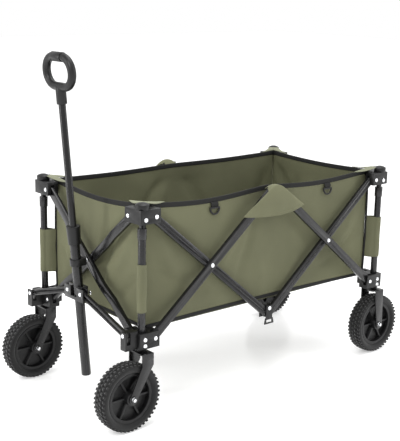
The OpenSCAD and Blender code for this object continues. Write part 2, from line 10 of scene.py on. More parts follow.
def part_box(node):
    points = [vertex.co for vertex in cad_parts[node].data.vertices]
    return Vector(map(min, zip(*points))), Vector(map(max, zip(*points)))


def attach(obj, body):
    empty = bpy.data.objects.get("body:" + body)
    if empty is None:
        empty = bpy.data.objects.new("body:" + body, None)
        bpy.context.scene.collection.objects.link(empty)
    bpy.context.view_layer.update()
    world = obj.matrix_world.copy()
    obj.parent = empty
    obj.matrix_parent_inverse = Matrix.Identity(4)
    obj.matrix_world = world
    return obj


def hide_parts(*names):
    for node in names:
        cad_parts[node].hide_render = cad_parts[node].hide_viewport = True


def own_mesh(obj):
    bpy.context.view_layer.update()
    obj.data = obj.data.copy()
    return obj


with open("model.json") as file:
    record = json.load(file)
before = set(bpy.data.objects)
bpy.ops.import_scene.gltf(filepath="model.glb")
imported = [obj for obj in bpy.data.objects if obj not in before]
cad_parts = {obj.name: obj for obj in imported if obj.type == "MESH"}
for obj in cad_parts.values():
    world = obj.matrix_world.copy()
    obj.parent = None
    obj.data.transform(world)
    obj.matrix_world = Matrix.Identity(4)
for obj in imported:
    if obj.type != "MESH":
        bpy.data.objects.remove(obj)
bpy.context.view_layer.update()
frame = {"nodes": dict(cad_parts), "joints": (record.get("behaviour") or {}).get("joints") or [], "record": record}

# ---------------------------------------------------------------- places, all from the frame
CORNERS = ("front_left", "front_right", "rear_left", "rear_right")


def joint(name):
    return next(j for j in frame["joints"] if j["name"] == name)


def middle(node):
    lo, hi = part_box(node)
    return (lo + hi) / 2


POST = {c: Vector((middle(f"{c}_upper_post").x, middle(f"{c}_upper_post").y, 0)) for c in CORNERS}
FRONT_X, REAR_X = POST["front_left"].x, POST["rear_left"].x
LEFT_Y, RIGHT_Y = POST["front_left"].y, POST["front_right"].y
MID_X = (FRONT_X + REAR_X) / 2
SIDE_Y = {"left": LEFT_Y, "right": RIGHT_Y}
END_X = {"front": FRONT_X, "rear": REAR_X}
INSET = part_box("front_end_fabric")[0].x - FRONT_X  # walls stand this far inboard of the posts
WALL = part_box("front_end_fabric")[1].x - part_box("front_end_fabric")[0].x
RIM_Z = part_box("front_end_fabric")[1].z
FLOOR_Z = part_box("front_end_fabric")[0].z
CAP_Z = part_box("front_left_upper_bracket")[1].z
SIDE_SIGN = {"left": -1, "right": 1}
END_SIGN = {"front": -1, "rear": 1}

# The linkage's lower pivot height and the pivots' insets from the posts
LOWER_Z = joint("rear_left_lower_pivot")["pos_m"][2]
PIVOT_INSET_X = abs(joint("rear_left_lower_pivot")["pos_m"][0] - REAR_X)
PIVOT_INSET_Y = abs(joint("front_end_a_pivot")["pos_m"][1] - LEFT_Y)


# ---------------------------------------------------------------- materials
def new_material(name, colour, roughness, metallic=0.0, sheen=0.0, coat=0.0):
    """A Principled material and its nodes, to which the callers add detail."""
    mat = bpy.data.materials.new(name)
    mat.use_nodes = True
    nodes = mat.node_tree.nodes
    shader = nodes["Principled BSDF"]
    shader.inputs["Base Color"].default_value = (*colour, 1)
    shader.inputs["Roughness"].default_value = roughness
    shader.inputs["Metallic"].default_value = metallic
    shader.inputs["Sheen Weight"].default_value = sheen
    shader.inputs["Sheen Roughness"].default_value = 0.5
    shader.inputs["Coat Weight"].default_value = coat
    shader.inputs["Specular IOR Level"].default_value = 0.32
    return mat, nodes, mat.node_tree.links, shader


def add_noise(nodes, links, scale, detail=3.0, stretch=None):
    """Noise in object space, stretched along an axis where stretch is given."""
    coords = nodes.new("ShaderNodeTexCoord")
    texture = nodes.new("ShaderNodeTexNoise")
    texture.inputs["Scale"].default_value = scale
    texture.inputs["Detail"].default_value = detail
    source = coords.outputs["Object"]
    if stretch:
        mapping = nodes.new("ShaderNodeMapping")
        mapping.inputs["Scale"].default_value = stretch
        links.new(source, mapping.inputs["Vector"])
        source = mapping.outputs["Vector"]
    links.new(source, texture.inputs["Vector"])
    return texture.outputs["Fac"]


def ramp(nodes, links, source, low, high, start=0.35, stop=0.65):
    """Colour ramp from low to high."""
    node = nodes.new("ShaderNodeValToRGB")
    node.color_ramp.elements[0].position = start
    node.color_ramp.elements[1].position = stop
    node.color_ramp.elements[0].color = (*low, 1)
    node.color_ramp.elements[1].color = (*high, 1)
    links.new(source, node.inputs["Fac"])
    return node.outputs["Color"]


def add_bump(nodes, links, shader, source, distance, strength=1.0, below=None):
    bump = nodes.new("ShaderNodeBump")
    bump.inputs["Strength"].default_value = strength
    bump.inputs["Distance"].default_value = distance
    links.new(source, bump.inputs["Height"])
    if below:
        links.new(below, bump.inputs["Normal"])
    links.new(bump.outputs["Normal"], shader.inputs["Normal"])
    return bump.outputs["Normal"]


def shade(colour, factor):
    return tuple(min(1.0, c * factor) for c in colour)


def coated_steel(name, colour, roughness, wear=(0.05, 0.05, 0.052)):
    """Powder-coated steel: fine orange peel, uneven gloss and slight wear on exposed edges."""
    mat, nodes, links, shader = new_material(name, colour, roughness, coat=0.15)
    shader.inputs["Coat Roughness"].default_value = 0.25
    blotch = add_noise(nodes, links, 9.0, 5.0)
    tone = ramp(nodes, links, blotch, shade(colour, 0.8), shade(colour, 1.35), 0.3, 0.7)
    geometry = nodes.new("ShaderNodeNewGeometry")
    edge = nodes.new("ShaderNodeMapRange")
    edge.inputs["From Min"].default_value = 0.53
    edge.inputs["From Max"].default_value = 0.6
    links.new(geometry.outputs["Pointiness"], edge.inputs["Value"])
    scuff = nodes.new("ShaderNodeMath")
    scuff.operation = "MULTIPLY"
    links.new(edge.outputs["Result"], scuff.inputs[0])
    links.new(add_noise(nodes, links, 60.0, 4.0), scuff.inputs[1])
    mix = nodes.new("ShaderNodeMix")
    mix.data_type = "RGBA"
    links.new(scuff.outputs["Value"], mix.inputs["Factor"])
    links.new(tone, mix.inputs[6])
    mix.inputs[7].default_value = (*wear, 1)
    links.new(mix.outputs[2], shader.inputs["Base Color"])
    gloss = nodes.new("ShaderNodeMapRange")
    gloss.inputs["To Min"].default_value = roughness - 0.07
    gloss.inputs["To Max"].default_value = roughness + 0.1
    links.new(blotch, gloss.inputs["Value"])
    links.new(gloss.outputs["Result"], shader.inputs["Roughness"])
    add_bump(nodes, links, shader, add_noise(nodes, links, 900.0, 2.0), 0.0002, 0.35)
    return mat


def moulded_plastic(name, colour, roughness):
    """Moulded plastic: spark-eroded grain, softly uneven tone."""
    mat, nodes, links, shader = new_material(name, colour, roughness)
    tone = ramp(nodes, links, add_noise(nodes, links, 14.0, 4.0), shade(colour, 0.8), shade(colour, 1.3))
    links.new(tone, shader.inputs["Base Color"])
    grain = nodes.new("ShaderNodeTexVoronoi")
    grain.inputs["Scale"].default_value = 1400.0
    coords = nodes.new("ShaderNodeTexCoord")
    links.new(coords.outputs["Object"], grain.inputs["Vector"])
    add_bump(nodes, links, shader, grain.outputs["Distance"], 0.0002, 0.3)
    return mat


def rubber(name, colour):
    """Tyre rubber: matt, dusty in places."""
    mat, nodes, links, shader = new_material(name, colour, 0.7, sheen=0.15)
    dust = add_noise(nodes, links, 22.0, 6.0)
    tone = ramp(nodes, links, dust, shade(colour, 0.75), shade(colour, 1.9), 0.35, 0.8)
    links.new(tone, shader.inputs["Base Color"])
    rough = nodes.new("ShaderNodeMapRange")
    rough.inputs["To Min"].default_value = 0.5
    rough.inputs["To Max"].default_value = 0.85
    links.new(dust, rough.inputs["Value"])
    links.new(rough.outputs["Result"], shader.inputs["Roughness"])
    add_bump(nodes, links, shader, add_noise(nodes, links, 500.0, 3.0), 0.0003, 0.4)
    return mat


def threads(nodes, links, pitch, direction):
    """Ridges of one thread direction, pitch metres apart."""
    coords = nodes.new("ShaderNodeTexCoord")
    wave = nodes.new("ShaderNodeTexWave")
    wave.wave_type = "BANDS"
    wave.bands_direction = direction
    wave.wave_profile = "SIN"
    wave.inputs["Scale"].default_value = 2 * math.pi / pitch / 20
    wave.inputs["Distortion"].default_value = 0.6
    wave.inputs["Detail"].default_value = 1.0
    wave.inputs["Detail Scale"].default_value = 4.0
    links.new(coords.outputs["Object"], wave.inputs["Vector"])
    return wave.outputs["Fac"]


def woven(name, colour, pitch=0.0012, across="X", roughness=0.8, contrast=1.0):
    """Plain-woven coated polyester: two thread directions, slubs, and soft uneven dye."""
    mat, nodes, links, shader = new_material(name, colour, roughness, sheen=0.25)
    shader.inputs["Sheen Tint"].default_value = (*shade(colour, 3.0), 1)
    dye = ramp(nodes, links, add_noise(nodes, links, 5.0, 4.0),
               shade(colour, 1 - 0.14 * contrast), shade(colour, 1 + 0.16 * contrast), 0.3, 0.7)
    warp, weft = threads(nodes, links, pitch, across), threads(nodes, links, pitch, "Z")
    cross = nodes.new("ShaderNodeMath")
    cross.operation = "MULTIPLY"
    links.new(warp, cross.inputs[0])
    links.new(weft, cross.inputs[1])
    thread_tone = ramp(nodes, links, cross.outputs["Value"], (0.82,) * 3, (1.1,) * 3, 0.0, 0.8)
    mix = nodes.new("ShaderNodeMix")
    mix.data_type = "RGBA"
    mix.blend_type = "MULTIPLY"
    mix.inputs["Factor"].default_value = 1.0
    links.new(dye, mix.inputs[6])
    links.new(thread_tone, mix.inputs[7])
    links.new(mix.outputs[2], shader.inputs["Base Color"])
    slub = add_noise(nodes, links, 220.0, 3.0, (1.0, 1.0, 6.0))
    height = nodes.new("ShaderNodeMath")
    height.operation = "MULTIPLY_ADD"
    height.inputs[1].default_value = 0.4
    links.new(slub, height.inputs[0])
    links.new(cross.outputs["Value"], height.inputs[2])
    add_bump(nodes, links, shader, height.outputs["Value"], 0.0003, 0.5)
    return mat


def bright_metal(name, colour, roughness):
    """Zinc-plated steel for rivets, bolts and rings."""
    mat, nodes, links, shader = new_material(name, colour, roughness, metallic=1.0)
    scratch = add_noise(nodes, links, 300.0, 4.0, (1.0, 8.0, 1.0))
    tone = ramp(nodes, links, scratch, shade(colour, 0.85), colour)
    links.new(tone, shader.inputs["Base Color"])
    add_bump(nodes, links, shader, scratch, 0.0001, 0.3)
    return mat


OLIVE = (0.116, 0.118, 0.067)
MAT = {
    "black_steel": coated_steel("powder_coated_steel", (0.0032, 0.0031, 0.0034), 0.25),
    "black_plastic": moulded_plastic("moulded_black_plastic", (0.0055, 0.0055, 0.0058), 0.38),
    "rim_plastic": moulded_plastic("rim_plastic", (0.0045, 0.0045, 0.0048), 0.4),
    "tyre_rubber": rubber("tyre_rubber", (0.003, 0.003, 0.0031)),
    "side_cloth": woven("olive_cloth_side", OLIVE, across="X"),
    "end_cloth": woven("olive_cloth_end", OLIVE, across="Y"),
    # The flap's cloth is the same olive painted 12% lighter: painted light standing in for the extra light its
    # upward tilt catches.
    "flap_cloth": woven("olive_cloth_flap_painted_light", shade(OLIVE, 1.12), across="X"),
    "floor_cloth": woven("floor_cloth", shade(OLIVE, 0.75), across="X"),
    "light_cloth": woven("light_cloth", (0.185, 0.192, 0.132), across="X"),
    "black_tape": woven("black_binding_tape", (0.007, 0.007, 0.0066), pitch=0.0016, roughness=0.75),
    "thread": woven("sewing_thread", (0.2, 0.205, 0.12), pitch=0.0006),
    "bright_metal": bright_metal("zinc_plated_steel", (0.83, 0.84, 0.86), 0.22),
}


# ---------------------------------------------------------------- mesh helpers
def finish_piece(name, bm, material, body, smooth=True):
    """Makes the mesh object, gives it its material and slot, and lets it ride on its body."""
    mesh = bpy.data.meshes.new(name)
    bmesh.ops.recalc_face_normals(bm, faces=bm.faces)
    bm.to_mesh(mesh)
    bm.free()
    obj = bpy.data.objects.new(name, mesh)
    bpy.context.scene.collection.objects.link(obj)
    mesh.materials.append(MAT[material])
    for p in mesh.polygons:
        p.use_smooth = smooth
    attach(obj, body)
    return obj


def grid(surface, nu, nv, thickness):
    """Closed sheet: surface(u, v) gives its middle, and thickness is laid out along the surface's normal."""
    bm = bmesh.new()
    points = [[Vector(surface(i / nu, j / nv)) for j in range(nv + 1)] for i in range(nu + 1)]
    sides = ([], [])
    for i in range(nu + 1):
        rows = ([], [])
        for j in range(nv + 1):
            du = points[min(i + 1, nu)][j] - points[max(i - 1, 0)][j]
            dv = points[i][min(j + 1, nv)] - points[i][max(j - 1, 0)]
            normal = du.cross(dv)
            normal = normal.normalized() if normal.length > 1e-12 else Vector((0, 0, 1))
            for k, s in ((0, 0.5), (1, -0.5)):
                rows[k].append(bm.verts.new(points[i][j] + normal * (thickness * s)))
        for k in (0, 1):
            sides[k].append(rows[k])
    top, under = sides
    for i in range(nu):
        for j in range(nv):
            bm.faces.new((top[i][j], top[i + 1][j], top[i + 1][j + 1], top[i][j + 1]))
            bm.faces.new((under[i][j], under[i][j + 1], under[i + 1][j + 1], under[i + 1][j]))
    for i in range(nu):
        for j, flip in ((0, False), (nv, True)):
            quad = (top[i][j], under[i][j], under[i + 1][j], top[i + 1][j])
            bm.faces.new(quad[::-1] if flip else quad)
    for j in range(nv):
        for i, flip in ((0, True), (nu, False)):
            quad = (top[i][j], under[i][j], under[i][j + 1], top[i][j + 1])
            bm.faces.new(quad[::-1] if flip else quad)
    return bm


def sweep(path, width, height, up=Vector((0, 0, 1)), corner=0.35, bm=None):
    """Band of rounded cross-section along a path: width lies across, height along up."""
    bm = bm or bmesh.new()
    n = 12
    outline = []
    for k in range(n):
        a = 2 * math.pi * (k + 0.5) / n
        c, s = math.cos(a), math.sin(a)
        outline.append((math.copysign(abs(c) ** corner, c) * width / 2,
                        math.copysign(abs(s) ** corner, s) * height / 2))
    rings = []
    for i, p in enumerate(path):
        along = (path[min(i + 1, len(path) - 1)] - path[max(i - 1, 0)]).normalized()
        across = along.cross(up).normalized()
        over = across.cross(along)
        rings.append([bm.verts.new(p + across * a + over * b) for a, b in outline])
    for a, b in zip(rings, rings[1:]):
        for k in range(n):
            bm.faces.new((a[k], a[(k + 1) % n], b[(k + 1) % n], b[k]))
    bm.faces.new(rings[0][::-1])
    bm.faces.new(rings[-1])
    return bm


def dome(bm, centre, axis, radius, height, rings=5, segments=20):
    """Low rounded head standing on a flange, as a rivet or a cap nut has."""
    axis = Vector(axis).normalized()
    side = axis.orthogonal().normalized()
    other = axis.cross(side)
    profile = [(radius, -0.0004), (radius, height * 0.25)]
    for k in range(1, rings + 1):
        a = k / rings * math.pi / 2
        profile.append((radius * 0.92 * math.cos(a), height * (0.25 + 0.75 * math.sin(a))))
    loops = []
    for r, h in profile[:-1]:
        ring = []
        for s in range(segments):
            t = 2 * math.pi * s / segments
            outward = (side * math.cos(t) + other * math.sin(t)) * r
            ring.append(bm.verts.new(Vector(centre) + axis * h + outward))
        loops.append(ring)
    tip = bm.verts.new(Vector(centre) + axis * profile[-1][1])
    for a, b in zip(loops, loops[1:]):
        for s in range(segments):
            bm.faces.new((a[s], a[(s + 1) % segments], b[(s + 1) % segments], b[s]))
    for s in range(segments):
        bm.faces.new((loops[-1][s], loops[-1][(s + 1) % segments], tip))
    bm.faces.new(loops[0][::-1])


THREAD_R = 0.0004


def stitches(bm, path, length=0.0032, gap=0.0016):
    """Row of short threads lying along a path. A span of the path shorter than a thread gets none."""
    travelled = 0.0
    step = length + gap
    for a, b in zip(path, path[1:]):
        span = (b - a).length
        if span < 1e-9:
            continue
        direction = (b - a) / span
        at = (-travelled) % step
        while at + length < span:
            p = a + direction * at
            across = direction.orthogonal().normalized() * THREAD_R
            over = direction.cross(across).normalized() * THREAD_R
            q = p + direction * length
            ends = [[bm.verts.new(e + across * c + over * s) for c, s in ((1, 0), (0, 1), (-1, 0), (0, -1))]
                    for e in (p, q)]
            for k in range(4):
                bm.faces.new((ends[0][k], ends[0][(k + 1) % 4], ends[1][(k + 1) % 4], ends[1][k]))
            bm.faces.new(ends[0][::-1])
            bm.faces.new(ends[1])
            at += step
        travelled += span


# ---------------------------------------------------------------- basket walls
def smooth_step(t):
    t = max(0.0, min(1.0, t))
    return t * t * (3 - 2 * t)


def cut_size(surface, nu=40, nv=30):
    """Width, length and area of the flat cut that makes this surface, in metres."""
    at = [[surface(i / nu, j / nv) for j in range(nv + 1)] for i in range(nu + 1)]
    width = max(sum((at[i + 1][j] - at[i][j]).length for i in range(nu)) for j in range(nv + 1))
    length = max(sum((at[i][j + 1] - at[i][j]).length for j in range(nv)) for i in range(nu + 1))
    area = 0.0
    for i in range(nu):
        for j in range(nv):
            a, b, c, d = at[i][j], at[i + 1][j], at[i + 1][j + 1], at[i][j + 1]
            area += (c - a).cross(d - b).length / 2
    flat = (round(width, 3), round(length, 3))
    return flat, round(min(area, flat[0] * flat[1]), 5)


def edge_mask(u, v, margin=0.1):
    """1 over the middle of a wall, 0 along its sewn edges."""
    near = min(u, 1 - u) / margin, min(v, 1 - v) / (2 * margin)
    return smooth_step(near[0]) * smooth_step(near[1])


def crease(u, v, start, end, width):
    """Soft ridge along a straight pull line in the wall, fading towards its end."""
    ax, ay = start
    dx, dy = end[0] - ax, end[1] - ay
    span = dx * dx + dy * dy
    t = ((u - ax) * dx + (v - ay) * dy) / span
    if t < -0.1 or t > 1.1:
        return 0.0
    px, py = ax + t * dx - u, ay + t * dy - v
    distance = math.hypot(px, py)
    fade = smooth_step((t + 0.1) / 0.25) * smooth_step((1.1 - t) / 0.6)
    return math.exp(-(distance / width) ** 2) * fade


def cloth_relief(u, v, seed, length, creases, swell):
    """How far the wall bulges outwards, in metres."""
    height = RIM_Z - FLOOR_Z
    p = Vector((u * length * 2.6, v * height * 2.2, seed * 7.3))
    slow = noise.noise(p) * 0.009
    tilted = Vector((u * length * 7.0 + v * height * 5.0, v * height * 2.0 - u * length * 1.2, seed * 3.1))
    fine = noise.noise(tilted) * 0.004
    ripple = math.sin((u * length + 0.35 * v * height) * 46 + 3 * noise.noise(p))
    puckers = ripple * 0.0011 * (v ** 3 + (1 - v) ** 3)  # at the rim and the hem, where the stitching pulls
    total = slow + fine + puckers + swell * math.sin(math.pi * v) * (0.6 + 0.4 * math.sin(math.pi * u))
    for start, end, width, lift in creases:
        total += lift * crease(u, v, start, end, width)
    return max(-0.016, min(0.0105, total)) * edge_mask(u, v)


RIM_DIP = {"left": 0.0115, "right": 0.003}  # the rim hangs this much between its supports


def side_rim_z(side, u):
    """Height of a side wall's rim: it hangs between the ends and the upper centre joint."""
    return RIM_Z - 0.003 - RIM_DIP[side] * abs(math.sin(2 * math.pi * u)) ** 1.3 * (1.1 - 0.25 * u)


def side_hem_z(u):
    return FLOOR_Z + 0.006 + 0.004 * math.sin(math.pi * u) - 0.003 * u


def end_rim_z(end, u):
    return RIM_Z - 0.003 - (0.015 if end == "front" else 0.006) * math.sin(math.pi * u)


def end_hem_z(u):
    return FLOOR_Z + 0.006 + 0.004 * math.sin(math.pi * u)


SIDE_CREASES = [
    ((0.0, 0.95), (0.17, 0.15), 0.030, 0.0085), ((0.02, 0.5), (0.3, 0.12), 0.040, -0.008),
    ((0.05, 0.9), (0.26, 0.45), 0.024, -0.006), ((0.43, 0.86), (0.29, 0.35), 0.022, 0.0075),
    ((0.46, 0.82), (0.36, 0.1), 0.020, -0.0055), ((0.56, 0.84), (0.70, 0.3), 0.026, 0.006),
    ((1.0, 0.9), (0.84, 0.2), 0.032, 0.0085), ((0.97, 0.45), (0.74, 0.08), 0.036, -0.007),
    ((0.5, 0.0), (0.46, 0.5), 0.022, 0.005), ((0.58, 0.02), (0.66, 0.4), 0.022, 0.0045),
]
END_CREASES = [
    ((0.0, 0.9), (0.45, 0.15), 0.050, 0.009), ((1.0, 0.92), (0.55, 0.2), 0.045, 0.009),
    ((0.08, 0.98), (0.62, 0.3), 0.034, -0.007), ((0.3, 0.75), (0.5, 0.1), 0.036, -0.008),
    ((0.72, 0.8), (0.9, 0.15), 0.040, 0.007), ((0.05, 0.4), (0.35, 0.05), 0.042, -0.007),
    ((0.95, 0.42), (0.62, 0.04), 0.040, -0.006), ((0.2, 0.5), (0.75, 0.22), 0.030, 0.006),
]


def side_wall(side):
    """Long wall of the basket. u runs from the front to the rear, v from the hem to the rim."""
    sign = SIDE_SIGN[side]
    y = SIDE_Y[side] - sign * (INSET + WALL / 2)
    x0, x1 = FRONT_X + INSET + 0.001, REAR_X - INSET - 0.001

    def surface(u, v):
        z = side_hem_z(u) * (1 - v) + side_rim_z(side, u) * v
        out = cloth_relief(u, v, 1 + sign, x1 - x0, SIDE_CREASES, 0.004)
        return Vector((x0 + u * (x1 - x0), y + sign * out, z))

    return surface, x1 - x0


def end_wall(end):
    """Short wall of the basket. u runs from the left to the right, v from the hem to the rim."""
    sign = END_SIGN[end]
    x = END_X[end] - sign * (INSET + WALL / 2)
    y0, y1 = LEFT_Y + INSET + WALL + 0.0008, RIGHT_Y - INSET - WALL - 0.0008

    def surface(u, v):
        z = end_hem_z(u) * (1 - v) + end_rim_z(end, u) * v
        out = cloth_relief(u, v, 5 + sign, y1 - y0, END_CREASES, 0.003)
        return Vector((x + sign * out, y0 + u * (y1 - y0), z))

    return surface, y1 - y0


CLOTH = 0.0018


def squash_x(obj):
    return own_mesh(obj)


def squash_y(obj):
    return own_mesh(obj)


def along_wall(surface, v, n, u0=0.0, u1=1.0, shift=Vector((0, 0, 0))):
    return [surface(u0 + (u1 - u0) * i / n, v) + shift for i in range(n + 1)]


def build_wall(name, surface, length, body, flatten, cloth, nodes):
    """Panel with its rim and hem bindings and two rows of stitching."""
    height = RIM_Z - FLOOR_Z
    wall = finish_piece(f"{name}_panel", grid(surface, max(24, int(length / 0.0075)), 44, CLOTH), cloth, body)
    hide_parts(*nodes)
    flatten(wall)
    n = max(24, int(length / 0.012))
    rim = sweep(along_wall(surface, 1.0, n, shift=Vector((0, 0, -0.0035))), 0.0048, 0.0125)
    flatten(finish_piece(f"{name}_rim_binding", rim, "black_tape", body))
    hem = sweep(along_wall(surface, 0.0, n, shift=Vector((0, 0, 0.0015))), 0.0046, 0.0095)
    flatten(finish_piece(f"{name}_hem_binding", hem, "black_tape", body))
    outward = surface(0.5, 1.0) - Vector((MID_X, 0, RIM_Z))
    outward.z = 0
    if abs(outward.x) < 0.1:
        outward = Vector((0, math.copysign(1, outward.y), 0))
    else:
        outward = Vector((math.copysign(1, outward.x), 0, 0))
    seam = bmesh.new()
    for v in (1 - 0.0125 / height, 0.012 / height):
        stitches(seam, along_wall(surface, v, n, 0.01, 0.99, outward * 0.0012))
    flatten(finish_piece(f"{name}_stitching", seam, "thread", body, smooth=False))
    return wall


def corner_piping(side, end):
    """Black piping up the outside of a basket corner."""
    sx, sy = END_SIGN[end], SIDE_SIGN[side]
    x = END_X[end] - sx * (INSET - 0.0005)
    y = SIDE_Y[side] - sy * (INSET - 0.0005)
    x -= sx * 0.002
    path = []
    for i in range(25):
        t = i / 24
        wave = math.sin(t * math.pi) * 0.002
        path.append(Vector((x + sx * wave, y + sy * wave, FLOOR_Z + 0.004 + t * (RIM_Z - FLOOR_Z - 0.012))))
    bm = sweep(path, 0.0062, 0.0062, up=Vector((sx, sy, 0)).normalized(), corner=0.8)
    body = f"front_{side}_upper"
    return squash_x(finish_piece(f"{end}_{side}_corner_piping", bm, "black_tape", body))


for side in SIDE_SIGN:
    surface, length = side_wall(side)
    build_wall(f"{side}_side", surface, length, f"front_{side}_upper", squash_x, "side_cloth",
               [f"{side}_side_fabric"])
for end in END_SIGN:
    surface, length = end_wall(end)
    build_wall(f"{end}_end", surface, length, f"{end}_left_upper", squash_y, "end_cloth",
               [f"{end}_end_fabric"])
for side in SIDE_SIGN:
    for end in END_SIGN:
        corner_piping(side, end)


# ---------------------------------------------------------------- floor
def floor_half(side):
    """Half of the floor, from the wall to the middle, with a slight uneven relief."""
    sign = SIDE_SIGN[side]
    lo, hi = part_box(f"{side}_floor_fabric")
    z = (lo.z + hi.z) / 2

    def surface(u, v):
        x = lo.x + 0.001 + u * (hi.x - lo.x - 0.002)
        y = (lo.y if sign > 0 else hi.y) + sign * (0.0005 + v * (hi.y - lo.y - 0.001))
        relief = noise.noise(Vector((x * 6, y * 6, 2.0))) * 0.0012
        return Vector((x, y, z + relief * edge_mask(u, v, 0.06)))

    board = finish_piece(f"{side}_floor_panel", grid(surface, 90, 24, 0.0022), "floor_cloth", f"{side}_floor")
    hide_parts(f"{side}_floor_fabric")
    squash_x(board)
    tape = sweep([surface(i / 60, 0.015) + Vector((0, 0, 0.0004)) for i in range(61)], 0.012, 0.0032)
    squash_x(finish_piece(f"{side}_floor_tape", tape, "black_tape", f"{side}_floor"))


for side in SIDE_SIGN:
    floor_half(side)


# ---------------------------------------------------------------- flaps over the upper centre joints
def flap(side):
    """Hooded flap from the rim out over the upper centre joint and down over the two bars."""
    sign = SIDE_SIGN[side]
    lo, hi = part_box(f"{side}_flap")
    half = (hi.x - lo.x) / 2
    rim_y = SIDE_Y[side] - sign * (INSET - 0.0005)
    out_y = (lo.y if side == "left" else hi.y) - sign * 0.0014
    peak, edge_fall, middle_fall = RIM_Z + 0.0052, 0.066, 0.080

    def surface(u, v):
        s = 2 * u - 1
        x = MID_X + s * (0.006 + (half - 0.002 + (0.008 if s < 0 else 0)) * v ** 0.94)
        y = rim_y + (out_y - rim_y) * smooth_step(v / 0.22)
        middle = peak - middle_fall * smooth_step((v - 0.16) / 1.15) / smooth_step(0.84 / 1.15)
        edge = peak - (edge_fall + (0.006 if s < 0 else 0)) * v
        z = middle + (edge - middle) * abs(s) ** 2.2 - 0.014 * (1 - smooth_step(v / 0.14))
        belly = 0.0065 * math.cos(s * math.pi / 2) * smooth_step((v - 0.1) / 0.5)
        tuck = 0.004 * smooth_step((abs(s) - 0.85) / 0.15) * v
        fold = noise.noise(Vector((x * 24, z * 16, 4.0 + sign))) * 0.0022 * smooth_step(v / 0.4)
        return Vector((x, y + sign * (belly - tuck + fold), z))

    cover = finish_piece(f"{side}_flap_cover", grid(surface, 44, 34, CLOTH), "flap_cloth",
                         f"{side}_upper_centre")
    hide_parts(f"{side}_flap")
    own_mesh(cover)
    seam = bmesh.new()
    lift = Vector((0, sign * 0.0013, 0))
    stitches(seam, [surface(0.03 + 0.94 * i / 40, 0.94) + lift for i in range(41)])
    for u in (0.04, 0.96):
        stitches(seam, [surface(u, 0.3 + 0.64 * i / 24) + lift for i in range(25)])
    seam = finish_piece(f"{side}_flap_stitching", seam, "thread", f"{side}_upper_centre", smooth=False)
    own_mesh(seam)
    flat, area = cut_size(surface)


for side in SIDE_SIGN:
    flap(side)


# ---------------------------------------------------------------- sleeves on the posts
def sleeve(corner):
    """Sewn sleeve round the post, with its two layers running in to the basket's corner."""
    end, side = corner.split("_")
    sx, sy = END_SIGN[end], SIDE_SIGN[side]
    centre = POST[corner]
    inboard = Vector((-sx, -sy, 0)).normalized()
    across = Vector((-inboard.y, inboard.x, 0))
    post_r = 0.0112
    sewn = Vector((-sx * (INSET - 0.001), -sy * (INSET - 0.001), 0))  # where the web meets the end wall
    low = LOWER_Z + 0.070
    high = low + 0.120

    def loop_point(u, out):
        """Closed outline round post and corner, u from 0 to 1."""
        angle = math.radians(62)
        if u < 0.2:
            t = u / 0.2
            a = sewn + across * 0.0012
            b = inboard * (post_r * math.cos(angle)) + across * (post_r * math.sin(angle))
            p = a.lerp(b, t)
            p += across * (0.0025 * math.sin(math.pi * t))
        elif u > 0.8:
            t = (u - 0.8) / 0.2
            a = inboard * (post_r * math.cos(angle)) - across * (post_r * math.sin(angle))
            b = sewn - across * 0.0012
            p = a.lerp(b, t)
            p -= across * (0.0025 * math.sin(math.pi * t))
        else:
            t = (u - 0.2) / 0.6
            turn = angle + t * (2 * math.pi - 2 * angle)
            p = inboard * (post_r * math.cos(turn)) + across * (post_r * math.sin(turn))
        return p * out

    def surface(u, v):
        z = low + v * (high - low)
        slack = 1 + 0.035 * math.sin(v * 9 + u * 12) + 0.03 * noise.noise(Vector((u * 6, v * 5, sx + 3 * sy)))
        p = loop_point(u, slack)
        z += 0.002 * math.sin(u * 7 + sx) * (v - 0.5)
        return centre + Vector((p.x, p.y, z))

    cloth = finish_piece(f"{corner}_sleeve", grid(surface, 72, 26, 0.0014), "side_cloth", f"{corner}_upper")
    seam = bmesh.new()
    for v in (0.05, 0.95):
        stitches(seam, [surface(0.02 + 0.96 * i / 18, v) for i in range(19)])
    thread = finish_piece(f"{corner}_sleeve_stitching", seam, "thread", f"{corner}_upper", smooth=False)
    flat, area = cut_size(surface)


for corner in CORNERS:
    sleeve(corner)


# ---------------------------------------------------------------- light corner patches under the caps
DECLARED_PATCH_SHARE = 0.31


def corner_patch(corner):
    """Light fabric gusset that hangs the basket's corner from the post cap."""
    end, side = corner.split("_")
    sx, sy = END_SIGN[end], SIDE_SIGN[side]
    cap = CAP_Z - 0.0045
    leg, neck = 0.060, 0.0175
    post = POST[corner]
    basket = post + Vector((-sx * INSET, -sy * INSET, 0))

    def surface(u, v):
        s = 2 * u - 1
        run = leg * abs(s) ** 0.9 + 0.002
        out = 0.0026 * (1 - abs(s))
        if s < 0:
            rim = basket + Vector((-sx * out, -sy * run, RIM_Z + 0.0012 - 0.004 * s * s))
        else:
            rim = basket + Vector((-sx * run, -sy * out, RIM_Z + 0.0012 - 0.004 * s * s))
        turn = math.radians(45 * (1 - s))
        top = post + Vector((-sx * neck * math.cos(turn), -sy * neck * math.sin(turn), cap))
        p = rim.lerp(top, v)
        p.z += 0.0035 * math.sin(math.pi * v) * (1 - abs(s)) - 0.003 * math.sin(math.pi * v) * abs(s)
        p.z += 0.0008 * math.sin(11 * u + sx) * math.sin(math.pi * v)
        return p

    patch = finish_piece(f"{corner}_corner_patch", grid(surface, 24, 14, 0.0016), "light_cloth",
                         f"{corner}_upper")
    flat, area = cut_size(surface)
    area = max(area, DECLARED_PATCH_SHARE * flat[0] * flat[1])


for corner in CORNERS:
    corner_patch(corner)


